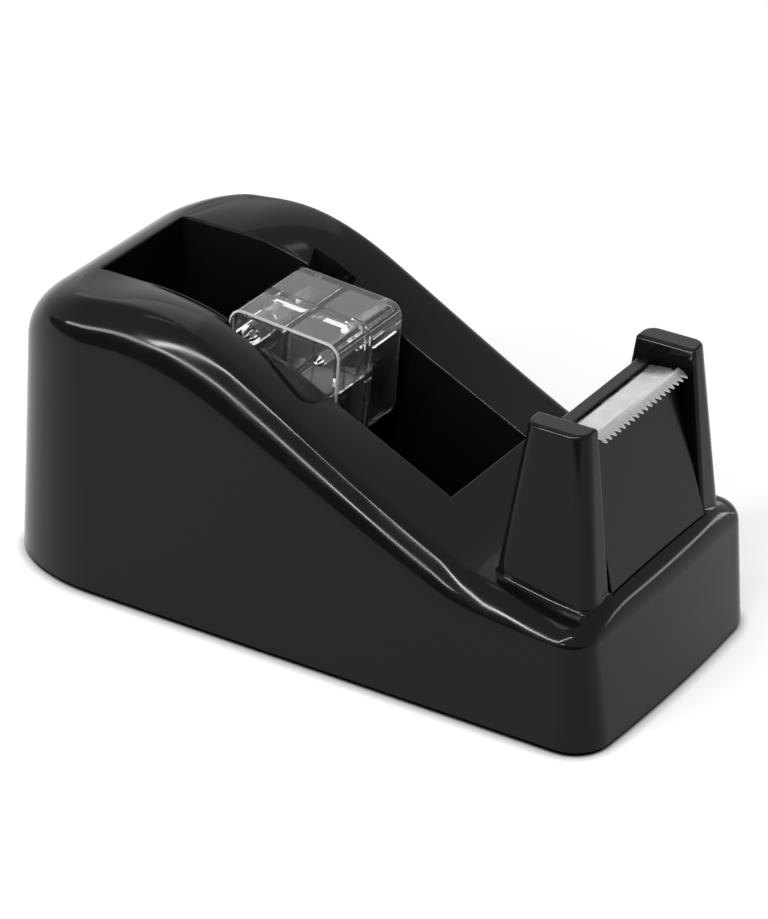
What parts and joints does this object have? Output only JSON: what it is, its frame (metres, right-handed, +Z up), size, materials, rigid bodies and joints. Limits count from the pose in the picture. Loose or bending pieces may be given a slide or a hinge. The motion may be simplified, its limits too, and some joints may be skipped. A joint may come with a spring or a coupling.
{
  "type": "desk tape dispenser",
  "caption": "Weighted desk tape dispenser: an open tape well, a clear hub that turns in slanted slots, and a toothed steel blade on a bridge between its posts.",
  "frame": {"origin": "on the table under the middle of the housing's length and width", "axes": "+X along the body towards the cutter, +Y across the body to the far side, +Z up"},
  "size_m": [0.1056, 0.0484, 0.0486],
  "materials": {
    "shell": "polished black moulded plastic",
    "bridge": "polished black moulded plastic",
    "blade": "bright rolled steel",
    "hub": "clear moulded plastic",
    "base": "matt black moulded plastic",
    "pad": "fine-grained black foam rubber",
    "weight": "rough cast iron",
    "screw": "zinc-plated steel"
  },
  "bodies": {
    "dispenser": {"housing": "shell", "cutter_bridge": "bridge", "cutter_blade": "blade", "base_plate": "base", "non_slip_pad": "pad", "weight_near": "weight", "weight_far": "weight", "weight_front": "weight", "screw_front_near": "screw", "screw_front_far": "screw", "screw_rear_near": "screw", "screw_rear_far": "screw"},
    "hub": {"hub_half_near": "hub", "hub_half_far": "hub"}
  },
  "joints": [
    {"name": "hub_spin", "type": "hinge", "parent": "dispenser", "child": "hub", "pos_m": [-0.0095, 0, 0.0353], "axis": [0, 1, 0], "continuous": true}
  ]
}
